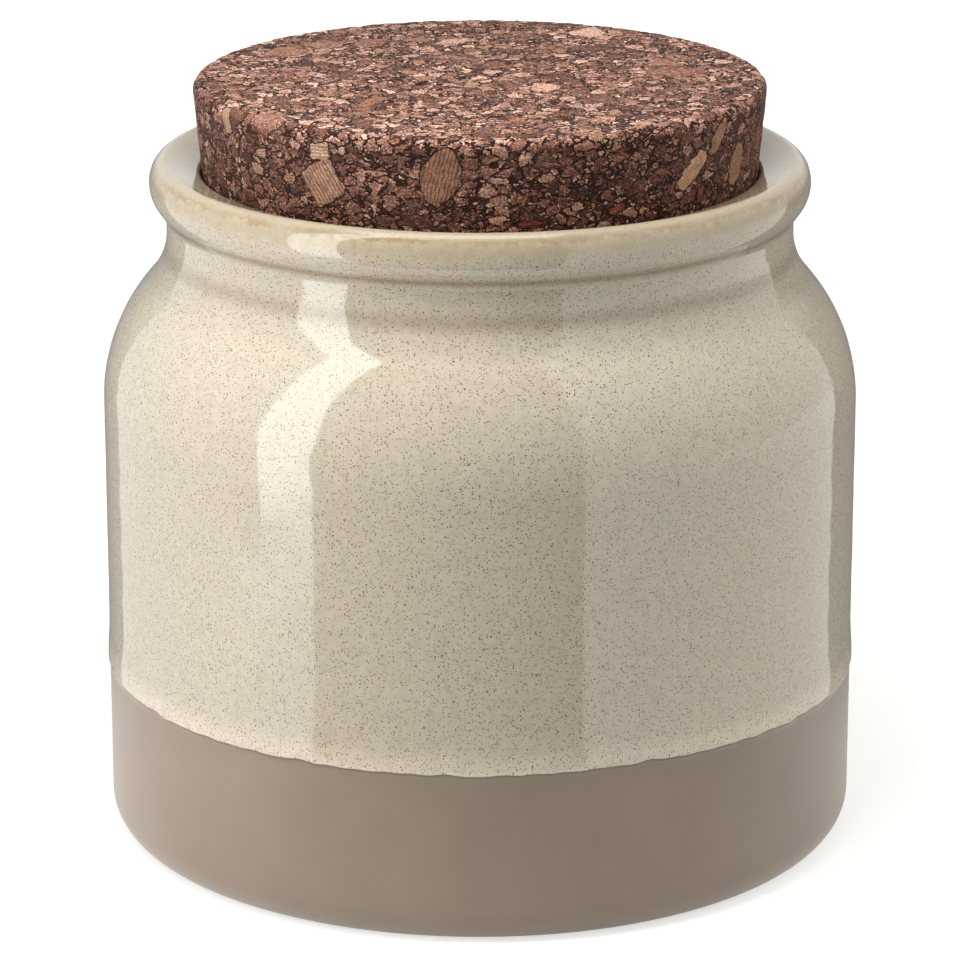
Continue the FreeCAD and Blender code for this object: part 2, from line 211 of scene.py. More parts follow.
def jarOutline():
    # half outline from the foot up the outside, over the lip and down the mouth: each curve meets the
    # next on the line through both centres
    s = jarShape
    side, edge, crest = s["lipSideCurve"], s["lipEdgeCurve"], s["lipCrestCurve"]
    sideAt = along((s["lipRadius"] - side, 0), 0, 0)
    edgeAt = along(sideAt, side - edge, s["lipEdgeAngle"])
    crestAt = along(edgeAt, edge - crest, s["lipCrestAngle"])
    rise = s["rimHeight"] - crest - crestAt[1]
    sideAt, edgeAt, crestAt = (point + (0, rise) for point in (sideAt, edgeAt, crestAt))
    under = np.radians(s["lipUnderAngle"])
    lipLow = along(sideAt, side, -s["lipUnderAngle"])
    creaseAngle = 180 - s["lipUnderAngle"]
    creaseRight = s["neckRadius"] + s["creaseCurve"]
    creaseTop = along((creaseRight, 0), s["creaseCurve"], creaseAngle)
    fall = (lipLow[0] - creaseTop[0]) / np.tan(under)
    creaseAt = np.array((creaseRight, lipLow[1] - fall - creaseTop[1]))
    neckAt = np.array((s["neckRadius"] + s["neckCurve"], creaseAt[1] - s["neckLength"]))
    shoulderIn = s["bodyRadius"] - s["shoulderCurve"]
    reach = s["neckCurve"] + s["shoulderCurve"]
    drop = np.sqrt(reach ** 2 - (neckAt[0] - shoulderIn) ** 2)
    shoulderAt = np.array((shoulderIn, neckAt[1] - drop))
    meet = np.degrees(np.arctan2(drop, neckAt[0] - shoulderIn))
    footAt = np.array((s["bodyRadius"] - s["footCurve"],
                       np.sqrt(s["footCurve"] ** 2 - (s["footCurve"] - s["footInset"]) ** 2)))
    footAngle = -np.degrees(np.arcsin(footAt[1] / s["footCurve"]))
    roll = s["glazeProud"]
    line = s["glazeLine"]
    slope = np.radians(s["rimSlope"])
    rimOut = along(crestAt, crest, 90 + s["rimSlope"])
    mouthTop = np.array((s["mouthRadius"], rimOut[1] - (rimOut[0] - s["mouthRadius"]) * np.tan(slope)))
    mouthRun = np.array((-np.sin(np.radians(s["mouthTaper"])), -np.cos(np.radians(s["mouthTaper"]))))
    rimRun = np.array((np.cos(slope), np.sin(slope)))
    bend = s["mouthRound"]
    cornerOut, cornerIn = mouthTop + rimRun * bend, mouthTop + mouthRun * bend
    blend = np.linspace(0, 1, 6, endpoint=False)[:, None]
    corner = cornerOut * (1 - blend) ** 2 + 2 * mouthTop * blend * (1 - blend) + cornerIn * blend ** 2
    floor = mouthTop + mouthRun * s["mouthDepth"] / -mouthRun[1]
    fade = np.linspace(0, 1, 16)[:, None]
    swell = np.hstack((roll * (1 - fade ** 2 * (3 - 2 * fade)), fade * 0))
    spread = run((s["bodyRadius"], line + roll), (s["bodyRadius"], line + s["glazeFade"]), 16) + swell
    parts = {
        "foot": run((0, 0), (footAt[0], 0), 5),
        "footCorner": arc(footAt, s["footCurve"], footAngle, 0, 14),
        "clay": run((s["bodyRadius"], footAt[1] + 1), (s["bodyRadius"], line), 20),
        "bead": arc((s["bodyRadius"], line + roll), roll, -90, -8, 8),
        "fade": spread,
        "wall": run((s["bodyRadius"], line + s["glazeFade"] + 0.6), (s["bodyRadius"], shoulderAt[1]), 34),
        "shoulder": arc(shoulderAt, s["shoulderCurve"], 0, meet, 42)[:-1],
        "hollow": arc(neckAt, s["neckCurve"], 180 + meet, 180, 30)[:-1],
        "neck": run((s["neckRadius"], neckAt[1]), (s["neckRadius"], creaseAt[1]), 4),
        "crease": arc(creaseAt, s["creaseCurve"], 180, creaseAngle, 8)[:-1],
        "under": run(along(creaseAt, s["creaseCurve"], creaseAngle), lipLow, 6),
        "side": arc(sideAt, side, -s["lipUnderAngle"], s["lipEdgeAngle"], 16)[:-1],
        "edge": arc(edgeAt, edge, s["lipEdgeAngle"], s["lipCrestAngle"], 12)[:-1],
        "crest": arc(crestAt, crest, s["lipCrestAngle"], 90 + s["rimSlope"], 12)[:-1],
        "rim": run(rimOut, cornerOut, 12),
        "corner": corner,
        "mouth": run(cornerIn, floor, 8),
        "floor": run(floor, (0, floor[1]), 5),
    }
    names = np.concatenate([[name] * len(points) for name, points in parts.items()])
    return np.vstack(list(parts.values())), names


def distanceAlong(outline):
    # length of the outline up to each of its points: the running sum of its steps
    return np.concatenate(([0], np.cumsum(np.hypot(*np.diff(outline, axis=0).T))))


def slowWaves(turn, seed, cycles, strength):
    # a closed wavy line round the jar: a sum of cosines, each with its own whole number of cycles
    dice = np.random.default_rng(seed)
    cycles = np.asarray(cycles)[:, None]
    size = strength * dice.uniform(0.5, 1.0, cycles.shape) / np.sqrt(len(cycles))
    return (size * np.cos(cycles * turn + dice.uniform(0, 2 * np.pi, cycles.shape))).sum(0)


def turnedMesh(name, outline, radius, height, turn):
    # the outline carried round the axis: x = radius cos, y = radius sin, closed by one point at each end
    rows, columns = radius.shape
    x, y = radius * np.cos(turn), radius * np.sin(turn)
    ring = np.stack((x, y, height), axis=-1).reshape(-1, 3)
    ends = np.array(((0, 0, outline[0, 1]), (0, 0, outline[-1, 1])))
    points = np.vstack((ring, ends)) * mm
    here = np.arange(columns)
    after = np.roll(here, -1)
    low = np.arange(rows - 1)[:, None] * columns
    quads = np.stack((low + here, low + after, low + columns + after, low + columns + here), axis=-1)
    quads = quads.reshape(-1, 4)
    bottom = np.stack((np.full(columns, rows * columns), after, here), axis=-1)
    last = (rows - 1) * columns
    top = np.stack((np.full(columns, rows * columns + 1), last + here, last + after), axis=-1)
    corners = np.concatenate((quads.ravel(), bottom.ravel(), top.ravel()))
    sizes = np.concatenate((np.full(len(quads), 4), np.full(2 * columns, 3)))
    mesh = bpy.data.meshes.new(name)
    mesh.vertices.add(len(points))
    mesh.vertices.foreach_set("co", points.ravel())
    mesh.loops.add(len(corners))
    mesh.loops.foreach_set("vertex_index", corners)
    mesh.polygons.add(len(sizes))
    mesh.polygons.foreach_set("loop_start", np.concatenate(([0], np.cumsum(sizes)[:-1])))
    mesh.polygons.foreach_set("use_smooth", np.ones(len(sizes), bool))
    mesh.update(calc_edges=True)
    mesh.validate()
    return mesh


def storeNumbers(mesh, name, values):
    # one number for each vertex, which the finishes read
    layer = mesh.attributes.new(name, "FLOAT", "POINT")
    layer.data.foreach_set("value", np.asarray(values, dtype=np.float32).ravel())


def makeJar():
    # the outline turned round the axis: its height gets the wander of the glaze edge, its radius the ripples
    s = jarShape
    outline, names = jarOutline()
    # the first point lies on the axis, where one vertex closes the foot
    outline, names = outline[1:], names[1:]
    turn = np.linspace(0, 2 * np.pi, s["columns"], endpoint=False)
    radius = np.repeat(outline[:, :1], s["columns"], axis=1)
    height = np.repeat(outline[:, 1:], s["columns"], axis=1)
    # the glaze edge wanders, and rows further from it follow less and less
    line = s["glazeLine"]
    wander = slowWaves(turn, s["edgeSeed"], s["edgeCycles"], s["edgeWander"])
    pull = np.clip(1 - np.abs(outline[:, 1] - line) / s["glazeFade"], 0, 1) ** 1.5
    pull = pull * (outline[:, 0] > s["bodyRadius"] - 1)
    height = height + pull[:, None] * wander
    # slow ripples in the thickness of the glaze: a sum of leaning cosines, faded out at the wall's two ends
    glazed = np.isin(names, ("wall", "shoulder", "hollow", "neck"))
    window = np.hanning(15)
    gate = np.convolve(glazed.astype(float), window / window.sum(), "same")
    steps = distanceAlong(outline)
    ripple = 0
    for seed, lean, cycles in s["rippleWaves"]:
        phase = np.random.default_rng(seed).uniform(0, 2 * np.pi)
        ripple = ripple + np.cos(cycles * turn + steps[:, None] * lean * cycles / 3 + phase) / 2
    radius = radius + gate[:, None] * s["glazeRipple"] * (ripple - 1)
    mesh = turnedMesh("jar_visible", outline, radius, height, turn)
    # numbers for the finishes; the two at the end are for the points that close the foot and the mouth
    crestRow = int(np.argmax(outline[:, 1]))
    fromCrest = np.repeat((steps[crestRow] - steps)[:, None], s["columns"], axis=1)
    aboveEdge = height - line - wander
    storeNumbers(mesh, "fromCrest", np.append(fromCrest.ravel(), (200, -60)))
    storeNumbers(mesh, "aboveEdge", np.append(aboveEdge.ravel(), (-27, 70)))
    # bare clay up to the roll where the glaze ends, and on the faces that close the foot
    clayRows = int(np.argmax(names == "bead"))
    quadCount = (len(outline) - 1) * s["columns"]
    index = np.ones(len(mesh.polygons), dtype=np.int32)
    index[:clayRows * s["columns"]] = 0
    index[quadCount:quadCount + s["columns"]] = 0
    mesh.polygons.foreach_set("material_index", index)
    jar = bpy.data.objects.new("stoneware_jar", mesh)
    bpy.context.scene.collection.objects.link(jar)
    return jar


def corkOutline():
    # half outline from the middle of the foot, up the leaning side, over the rounded edge to the top
    s = corkShape
    lean = np.radians(s["taper"])
    bevel, hidden, curve = s["footBevel"], s["hiddenRun"], s["topRound"]
    footOut = s["footRadius"] + bevel * np.tan(lean)
    # the rounding touches the leaning side and the flat top
    centreZ = s["top"] - curve
    centreR = s["footRadius"] + (centreZ - s["foot"]) * np.tan(lean) - curve / np.cos(lean)
    touch = along((centreR, centreZ), curve, -s["taper"])
    bevelTop = (footOut, s["foot"] + bevel)
    hiddenTop = (footOut + hidden * np.tan(lean), s["foot"] + bevel + hidden)
    return np.vstack((
        run((2.0, s["foot"]), (s["footRadius"] - bevel, s["foot"]), 8),
        run((s["footRadius"] - bevel, s["foot"]), bevelTop, 3),
        run(bevelTop, hiddenTop, 8),
        run(hiddenTop, touch, 44),
        arc((centreR, centreZ), curve, -s["taper"], 90, 9)[:-1],
        run((centreR, s["top"]), (1.0, s["top"]), 118),
    ))


def nearestGrains(points, grains, chunk=3000):
    # distance to the nearest and second nearest grain centre, and which grain is nearest; the square of a
    # distance is the point's own square, less twice the product of both, plus the grain's own square
    first, second, which = [], [], []
    grains = grains.astype(np.float32)
    weight = (grains ** 2).sum(1)
    for start in range(0, len(points), chunk):
        part = points[start:start + chunk].astype(np.float32)
        square = weight - 2 * part @ grains.T
        index = np.argmin(square, axis=1)
        rows = np.arange(len(part))
        own = (part ** 2).sum(1)
        nearest = square[rows, index] + own
        square[rows, index] = np.inf
        first.append(np.sqrt(np.maximum(nearest, 0)))
        second.append(np.sqrt(np.maximum(square.min(1) + own, 0)))
        which.append(index)
    return np.concatenate(first), np.concatenate(second), np.concatenate(which)


def standoutFields(turn, outline):
    # for every point: how far inside the nearest standout grain it lies, how far across its growth lines,
    # their spacing and its colour. A grain is a superellipse in the surface's own plane: its edge is where
    # (|a / long| ^ square + |b / wide| ^ square) ^ (1 / square) is 1
    shape = (len(outline), len(turn))
    # heights are taken along the outline, so that a grain near the edge folds over onto the top
    steps = distanceAlong(outline)
    sideRows = np.arange(len(outline)) <= int(np.argmax(outline[:, 0]))
    inside, across = np.full(shape, -9.0), np.zeros(shape)
    spacing, tint = np.ones(shape), np.zeros(shape + (3,))
    for azimuth, up, long, wide, lean, line, square, hexText in standouts.values():
        facing = np.radians(azimuth - 90)
        sideways = (np.mod(turn - facing + np.pi, 2 * np.pi) - np.pi) * outline[:, 0].max()
        upward = (steps - np.interp(up, outline[sideRows, 1], steps[sideRows]))[:, None]
        tilt = np.radians(lean)
        a = sideways * np.cos(tilt) + upward * np.sin(tilt)
        b = upward * np.cos(tilt) - sideways * np.sin(tilt)
        reach = (np.abs(a / long) ** square + np.abs(b / wide) ** square) ** (1 / square)
        room = (1 - reach) * min(long, wide)
        closer = room > inside
        inside = np.where(closer, room, inside)
        across = np.where(closer, b, across)
        spacing = np.where(closer, line, spacing)
        tint = np.where(closer[..., None], linearColour(hexText)[:3], tint)
    return inside, across, spacing, tint


def grainCentres(dice):
    # random centres in a thin shell at the surface: over the top at the root of an even share of the radius,
    # and evenly up the leaning side, one for each grain's share of the area
    s = corkShape
    grain = s["granule"]
    tall = s["top"] - s["foot"]
    wide = s["footRadius"] + 3
    area = np.pi * wide ** 2 + 2 * np.pi * wide * tall * s["sideShare"]
    count = int(area * grain * s["crowding"] / grain ** 3)
    topCount = int(count * s["topShare"])
    sideCount = count - topCount
    distance = wide * np.sqrt(dice.uniform(0, 1, topCount))
    angle = dice.uniform(0, 2 * np.pi, count)
    topUp = s["top"] - dice.uniform(0, grain, topCount)
    sideUp = dice.uniform(s["foot"] + 8, s["top"], sideCount)
    sideOut = s["footRadius"] + (sideUp - s["foot"]) * np.tan(np.radians(s["taper"]))
    sideOut = sideOut - dice.uniform(0, grain, sideCount)
    distance, up = np.concatenate((distance, sideOut)), np.concatenate((topUp, sideUp))
    return np.column_stack((distance * np.cos(angle), distance * np.sin(angle), up))


def makeCork():
    # the outline turned round the axis, each point sunk by the joints between grains, by grains that fell out
    # and by the one lost at the rim; a joint is a bell curve of the gap between the two nearest grains
    s = corkShape
    outline = corkOutline()
    turn = np.linspace(0, 2 * np.pi, s["columns"], endpoint=False)
    radius = np.repeat(outline[:, :1], s["columns"], axis=1)
    height = np.repeat(outline[:, 1:], s["columns"], axis=1)
    x, y = radius * np.cos(turn), radius * np.sin(turn)
    dice = np.random.default_rng(s["seed"])
    grains = grainCentres(dice)
    first, second, which = nearestGrains(np.stack((x, y, height), axis=-1).reshape(-1, 3), grains)
    gap = second - first
    fallen = dice.uniform(0, 1, len(grains)) < s["pitShare"]
    sunk = dice.uniform(0, s["sunk"], len(grains))
    depth = s["groove"] * np.exp(-(gap / s["grooveWidth"]) ** 2) + sunk[which]
    depth = depth + s["pit"] * fallen[which] * np.clip(gap / s["pitEdge"], 0, 1)
    depth = depth.reshape(radius.shape)
    inside, across, spacing, tint = standoutFields(turn, outline)
    depth = np.where(inside > 0, sunk.mean(), depth)
    depth = depth + s["groove"] * np.exp(-(inside / s["standoutGroove"]) ** 2)
    hole = np.hypot(x - s["holeAt"][0], y - s["holeAt"][1])
    lost = s["pit"] * s["holeDepth"] * np.clip(1.15 - hole / s["holeSize"], 0, 1) ** 0.5
    depth = np.maximum(depth, lost * (height > s["top"] - 3))
    # the depth is taken inwards, along the outline's own normal
    ahead = np.gradient(outline, axis=0)
    ahead = ahead / np.hypot(*ahead.T)[:, None]
    outward = np.column_stack((ahead[:, 1], -ahead[:, 0]))
    radius = radius - depth * outward[:, :1]
    height = height - depth * outward[:, 1:]
    mesh = turnedMesh("cork_visible", outline, radius, height, turn)
    # numbers for the finish; the two at the end are for the points that close the foot and the top
    # how far each point faces up: the finish makes those faces paler, partly as sanding and partly as painted
    # light and sheen from above
    upward = np.repeat(np.clip(outward[:, 1:], 0, 1), s["columns"], axis=1)
    storeNumbers(mesh, "sandedAndLit", np.append(upward.ravel(), (0, 1)))
    storeNumbers(mesh, "hollowed", np.append((depth / s["pit"]).ravel(), (0, 0)))
    storeNumbers(mesh, "standoutInside", np.append(inside.ravel(), (-9, -9)))
    storeNumbers(mesh, "standoutLines", np.append((across / spacing).ravel(), (0, 0)))
    for channel, letter in enumerate("RGB"):
        storeNumbers(mesh, "standout" + letter, np.append(tint[..., channel].ravel(), (0, 0)))
    cork = bpy.data.objects.new("pressed_cork_lid", mesh)
    bpy.context.scene.collection.objects.link(cork)
    return cork


jar = makeJar()
print("jar turned", len(jar.data.polygons), "faces")
cork = makeCork()
print("cork lid turned", len(cork.data.polygons), "faces")

# finishes
glaze = {
    "body": "#BEB4A1",          # warm grey-cream
    "pale": "#D0C5B1",          # where it ran thick at its lower edge
    "lip": "#AB9D84",           # the lip drained and carries few specks
    "breaking": "#86683E",      # amber where it is thin over the lip
    "creaseShade": "#7E6A50",       # painted shade: brown darkening in the crease under the lip and in the hollow of the neck
    "speck": "#4E3725",         # iron from the clay
    "roughness": 0.045,
    "ior": 1.58,
    "paleRun": (4.8, 0.9),      # heights above the edge where the thick run begins and is full
    "lipRun": (6.0, 3.2),       # distances from the crest where the drained lip begins and is full
    # bands round the neck and lip: middle by distance from the crest, half width, strength
    # the crease and hollow bands are painted shade
    "creaseShadeBand": (9.2, 1.2, 0.62),
    "hollowShadeBand": (15.8, 2.4, 0.36),
    "amberBand": (3.6, 0.9, 1.0),
    "amberRag": 3.4,            # how far the amber's edge strays
    "amberPatches": (0.15, 0.55),
    # specks: spacing, smallest and largest radius, share of the places that have one
    "dust": (0.36, 0.05, 0.13, 0.9),            # faint iron dust, drawn a little coarse so that it shows
    "clearSpecks": (0.56, 0.05, 0.165, 0.36),
    "dustStrength": (0.42, 1.0),
    "speckStrength": (0.45, 0.9),
    "lipSpecks": 0.25,          # share of their strength that specks keep on the lip
    "patch": 9.0,               # size of the broad unevenness
    "mottling": 1.6,            # size of the fine unevenness
    "mottleTones": (0.90, 1.08),
    "orangePeel": 0.4,          # size of the fine ripple that frays reflections
    "peelHeight": 0.016,
}

clay = {
    "light": "#998875",
    "dark": "#8A7966",
    "edge": "#5B4B3B",          # stained where the glaze ends
    "roughness": 0.42,
    "ior": 1.6,
    "diffuseRoughness": 0.8,
    "sheen": 0.32,              # the faint bloom of a rubbed clay surface at a slant
    "sheenRoughness": 0.45,
    "grain": 0.35,              # grog in the clay, drawn a little coarse so that it shows
    "grainHeight": 0.03,
    "patch": 14.0,
}

corkFinish = {
    "binder": "#240D06",
    "tones": ((0.1, "#361F18"), (0.45, "#603B2F"), (0.75, "#8A6050"), (1.0, "#C29A85")),
    # tones where the surface faces up: partly sanded paler, partly painted light and sheen from above
    "sandedAndLitTones": ((0.1, "#45271C"), (0.40, "#7F5240"), (0.7, "#AD816C"), (1.0, "#DFBAA6")),
    "roughness": 0.7,
    "gloss": 0.22,
    # crumbs, then the grains that lie over them: size, share of the cells left out, width of the joint,
    # softness of its edge, shift of the pattern
    "layers": ((1.2, 0.0, 0.15, 0.03, 0.17), (2.4, 0.22, 0.22, 0.04, 0.0), (7.0, 0.80, 0.9, 0.08, 0.31)),
    "warp": 0.6,                # how far the grains' outlines stray
    "warpSize": 1.3,
    "grainLean": 0.28,          # slope of the steepest grains, rise over run
    "flatness": 1.5,            # the grains were pressed flat: wider than tall
    "raggedness": 0.45,         # how far fibres break the edge of a grain
    "fibre": 0.26,              # width of the streaks in a grain, drawn a little coarse so that they show
    "fleck": 0.24,              # size of the dust and torn cells
    "relief": 0.14,
}

# settings of the nodes that come up often
smooth = {"interpolation_type": "SMOOTHSTEP"}
add, subtract, times = {"operation": "ADD"}, {"operation": "SUBTRACT"}, {"operation": "MULTIPLY"}
timesAdd, above = {"operation": "MULTIPLY_ADD"}, {"operation": "GREATER_THAN"}
colourMix = {"data_type": "RGBA"}
colourTimes = {"data_type": "RGBA", "blend_type": "MULTIPLY"}


def speckMask(tree, place, spacing, least, most, share):
    # one dark dot in some cells of a grid: within a radius that differs from cell to cell
    cells = addNode(tree, "TexVoronoi", Vector=place, Scale=1 / (spacing * mm))
    pick = addNode(tree, "SeparateColor", Color=cells.outputs["Color"]).outputs["Red"]
    limit = addNode(tree, "MapRange", Value=pick, i1=1 - share, i2=1.0, i3=least / spacing,
                    i4=most / spacing)
    chosen = addNode(tree, "Math", above, i0=pick, i1=1 - share)
    room = addNode(tree, "Math", subtract, i0=limit.outputs[0], i1=cells.outputs["Distance"])
    inside = addNode(tree, "MapRange", Value=room.outputs[0], i1=-0.03, i2=0.05, i3=0.0, i4=1.0)
    return addNode(tree, "Math", times, i0=inside.outputs[0], i1=chosen.outputs[0]).outputs[0]


def band(tree, value, middle, half, strength):
    # a soft band: full strength at the middle, fading to nothing a half width away
    away = addNode(tree, "Math", subtract, i0=value, i1=middle)
    away = addNode(tree, "Math", {"operation": "ABSOLUTE"}, i0=away.outputs[0])
    share = addNode(tree, "MapRange", smooth, Value=away.outputs[0], i1=half, i2=0.0, i3=0.0, i4=strength)
    return share.outputs[0]


def makeGlazeMaterial():
    # speckled stoneware glaze, dipped and fired: glossy, cream where thick, amber where it thins on the lip,
    # with iron specks from the clay
    material, tree = newMaterial("speckled_glaze")
    g = glaze
    place = addNode(tree, "TexCoord").outputs["Object"]
    aboveEdge = addNode(tree, "Attribute", {"attribute_name": "aboveEdge"}).outputs["Fac"]
    fromCrest = addNode(tree, "Attribute", {"attribute_name": "fromCrest"}).outputs["Fac"]
    patch = addNode(tree, "TexNoise", Vector=place, Scale=1 / (g["patch"] * mm), Detail=3.0).outputs[0]
    mottling = addNode(tree, "TexNoise", Vector=place, Scale=1 / (g["mottling"] * mm), Detail=5.0,
                       Roughness=0.7).outputs[0]
    thick = addNode(tree, "MapRange", smooth, Value=aboveEdge, i1=g["paleRun"][0], i2=g["paleRun"][1],
                    i3=0.0, i4=1.0)
    colour = addNode(tree, "Mix", colourMix, i0=thick.outputs[0], i6=linearColour(g["body"]),
                     i7=linearColour(g["pale"])).outputs[2]
    onLip = addNode(tree, "MapRange", smooth, Value=fromCrest, i1=g["lipRun"][0], i2=g["lipRun"][1],
                    i3=0.0, i4=1.0).outputs[0]
    colour = addNode(tree, "Mix", colourMix, i0=onLip, i6=colour, i7=linearColour(g["lip"])).outputs[2]
    # painted shade: darker in the crease under the lip, and a little in the hollow of the neck
    crease = band(tree, fromCrest, *g["creaseShadeBand"])
    hollow = band(tree, fromCrest, *g["hollowShadeBand"])
    paintedShade = addNode(tree, "Math", add, i0=crease, i1=hollow)
    colour = addNode(tree, "Mix", colourMix, i0=paintedShade.outputs[0], i6=colour,
                     i7=linearColour(g["creaseShade"])).outputs[2]
    # thin over the lip: a ragged, patchy amber band just outside the crest
    ragged = addNode(tree, "Math", timesAdd, i0=mottling, i1=g["amberRag"], i2=fromCrest)
    amber = band(tree, ragged.outputs[0], *g["amberBand"])
    patchy = addNode(tree, "MapRange", Value=patch, i1=0.35, i2=0.62, i3=g["amberPatches"][0],
                     i4=g["amberPatches"][1])
    amber = addNode(tree, "Math", times, i0=amber, i1=patchy.outputs[0])
    colour = addNode(tree, "Mix", colourMix, i0=amber.outputs[0], i6=colour,
                     i7=linearColour(g["breaking"])).outputs[2]
    # faint dust and clear specks, weaker on the lip
    dust = speckMask(tree, place, *g["dust"])
    clear = speckMask(tree, place, *g["clearSpecks"])
    faint = addNode(tree, "MapRange", Value=mottling, i1=0.35, i2=0.65, i3=g["dustStrength"][0],
                    i4=g["dustStrength"][1])
    faint = addNode(tree, "Math", times, i0=dust, i1=faint.outputs[0])
    strong = addNode(tree, "MapRange", Value=patch, i1=0.3, i2=0.7, i3=g["speckStrength"][0],
                     i4=g["speckStrength"][1])
    strong = addNode(tree, "Math", times, i0=clear, i1=strong.outputs[0])
    specks = addNode(tree, "Math", {"operation": "MAXIMUM"}, i0=faint.outputs[0], i1=strong.outputs[0])
    drained = addNode(tree, "MapRange", Value=onLip, i1=0.0, i2=1.0, i3=1.0, i4=g["lipSpecks"])
    shown = addNode(tree, "Math", times, i0=specks.outputs[0], i1=drained.outputs[0])
    colour = addNode(tree, "Mix", colourMix, i0=shown.outputs[0], i6=colour,
                     i7=linearColour(g["speck"])).outputs[2]
    tones = addNode(tree, "MapRange", Value=mottling, i1=0.3, i2=0.7, i3=g["mottleTones"][0],
                    i4=g["mottleTones"][1])
    colour = addNode(tree, "Mix", colourTimes, i0=1.0, i6=colour, i7=tones.outputs[0]).outputs[2]
    peel = addNode(tree, "TexNoise", Vector=place, Scale=1 / (g["orangePeel"] * mm), Detail=1.0)
    bump = addNode(tree, "Bump", Strength=0.35, Distance=g["peelHeight"] * mm, Height=peel.outputs[0])
    shader = addNode(tree, "BsdfPrincipled", Base_Color=colour, Roughness=g["roughness"],
                     IOR=g["ior"], Normal=bump.outputs[0])
    addNode(tree, "OutputMaterial", Surface=shader.outputs[0])
    return material


def makeClayMaterial():
    # unglazed stoneware, sponged and fired: satin, taupe, with fine grog
    material, tree = newMaterial("bare_stoneware")
    place = addNode(tree, "TexCoord").outputs["Object"]
    aboveEdge = addNode(tree, "Attribute", {"attribute_name": "aboveEdge"}).outputs["Fac"]
    grit = addNode(tree, "TexNoise", Vector=place, Scale=1 / (clay["grain"] * mm), Detail=3.0)
    patch = addNode(tree, "TexNoise", Vector=place, Scale=1 / (clay["patch"] * mm), Detail=2.0)
    blend = addNode(tree, "Math", timesAdd, i0=grit.outputs[0], i1=0.55, i2=patch.outputs[0])
    tone = addNode(tree, "MapRange", Value=blend.outputs[0], i1=0.30, i2=1.25, i3=0.0, i4=1.0)
    colour = addNode(tree, "Mix", colourMix, i0=tone.outputs[0], i6=linearColour(clay["dark"]),
                     i7=linearColour(clay["light"])).outputs[2]
    seam = addNode(tree, "MapRange", Value=aboveEdge, i1=-0.45, i2=-0.05, i3=0.0, i4=0.7)
    colour = addNode(tree, "Mix", colourMix, i0=seam.outputs[0], i6=colour,
                     i7=linearColour(clay["edge"])).outputs[2]
    bump = addNode(tree, "Bump", Strength=0.25, Distance=clay["grainHeight"] * mm, Height=grit.outputs[0])
    shader = addNode(tree, "BsdfPrincipled", Base_Color=colour, Roughness=clay["roughness"],
                     IOR=clay["ior"], Diffuse_Roughness=clay["diffuseRoughness"], Sheen_Weight=clay["sheen"],
                     Sheen_Roughness=clay["sheenRoughness"], Normal=bump.outputs[0])
    addNode(tree, "OutputMaterial", Surface=shader.outputs[0])
    return material


def grainLayer(tree, place, size, shift):
    # cells of pressed cork: each grain has its own tone, and streaks that run in its own direction
    c = corkFinish
    moved = addNode(tree, "VectorMath", add, i0=place, i1=(shift, 0, 0)).outputs[0]
    cells = addNode(tree, "TexVoronoi", Vector=moved, Scale=1 / (size * mm))
    border = addNode(tree, "TexVoronoi", {"feature": "DISTANCE_TO_EDGE"}, Vector=moved,
                     Scale=1 / (size * mm))
    parts = addNode(tree, "SeparateColor", Color=cells.outputs["Color"])
    heading = addNode(tree, "VectorMath", subtract, i0=cells.outputs["Color"], i1=(0.5, 0.5, 0.5))
    heading = addNode(tree, "VectorMath", {"operation": "NORMALIZE"}, i0=heading.outputs[0]).outputs[0]
    # the noise is drawn out along the heading: most of the way along it is taken off the place
    way = addNode(tree, "VectorMath", {"operation": "DOT_PRODUCT"}, i0=moved, i1=heading)
    way = addNode(tree, "Math", times, i0=way.outputs["Value"], i1=-0.85)
    drawn = addNode(tree, "VectorMath", {"operation": "SCALE"}, i0=heading, Scale=way.outputs[0])
    drawn = addNode(tree, "VectorMath", add, i0=moved, i1=drawn.outputs[0]).outputs[0]
    streak = addNode(tree, "TexNoise", Vector=drawn, Scale=1 / (c["fibre"] * mm), Detail=2.0, Roughness=0.6)
    shade = addNode(tree, "MapRange", Value=streak.outputs[0], i1=0.32, i2=0.68, i3=-0.40, i4=0.40)
    middling = addNode(tree, "Mix", i0=0.5, i2=parts.outputs["Green"], i3=parts.outputs["Blue"])
    tone = addNode(tree, "Math", add, i0=middling.outputs[0], i1=shade.outputs[0])
    # fibres break the edge
    edge = addNode(tree, "Math", times, i0=border.outputs["Distance"], i1=size)
    fringe = addNode(tree, "MapRange", {"clamp": False}, Value=streak.outputs[0], i1=0.0, i2=1.0,
                     i3=-0.5 * c["raggedness"], i4=0.5 * c["raggedness"])
    edge = addNode(tree, "Math", add, i0=edge.outputs[0], i1=fringe.outputs[0])
    # a grain leans its own way: it rises from one side of its middle to the other
    offset = addNode(tree, "VectorMath", subtract, i0=moved, i1=cells.outputs["Position"]).outputs[0]
    rise = addNode(tree, "VectorMath", {"operation": "DOT_PRODUCT"}, i0=offset, i1=heading)
    return edge.outputs[0], parts.outputs["Red"], tone.outputs[0], rise.outputs["Value"]


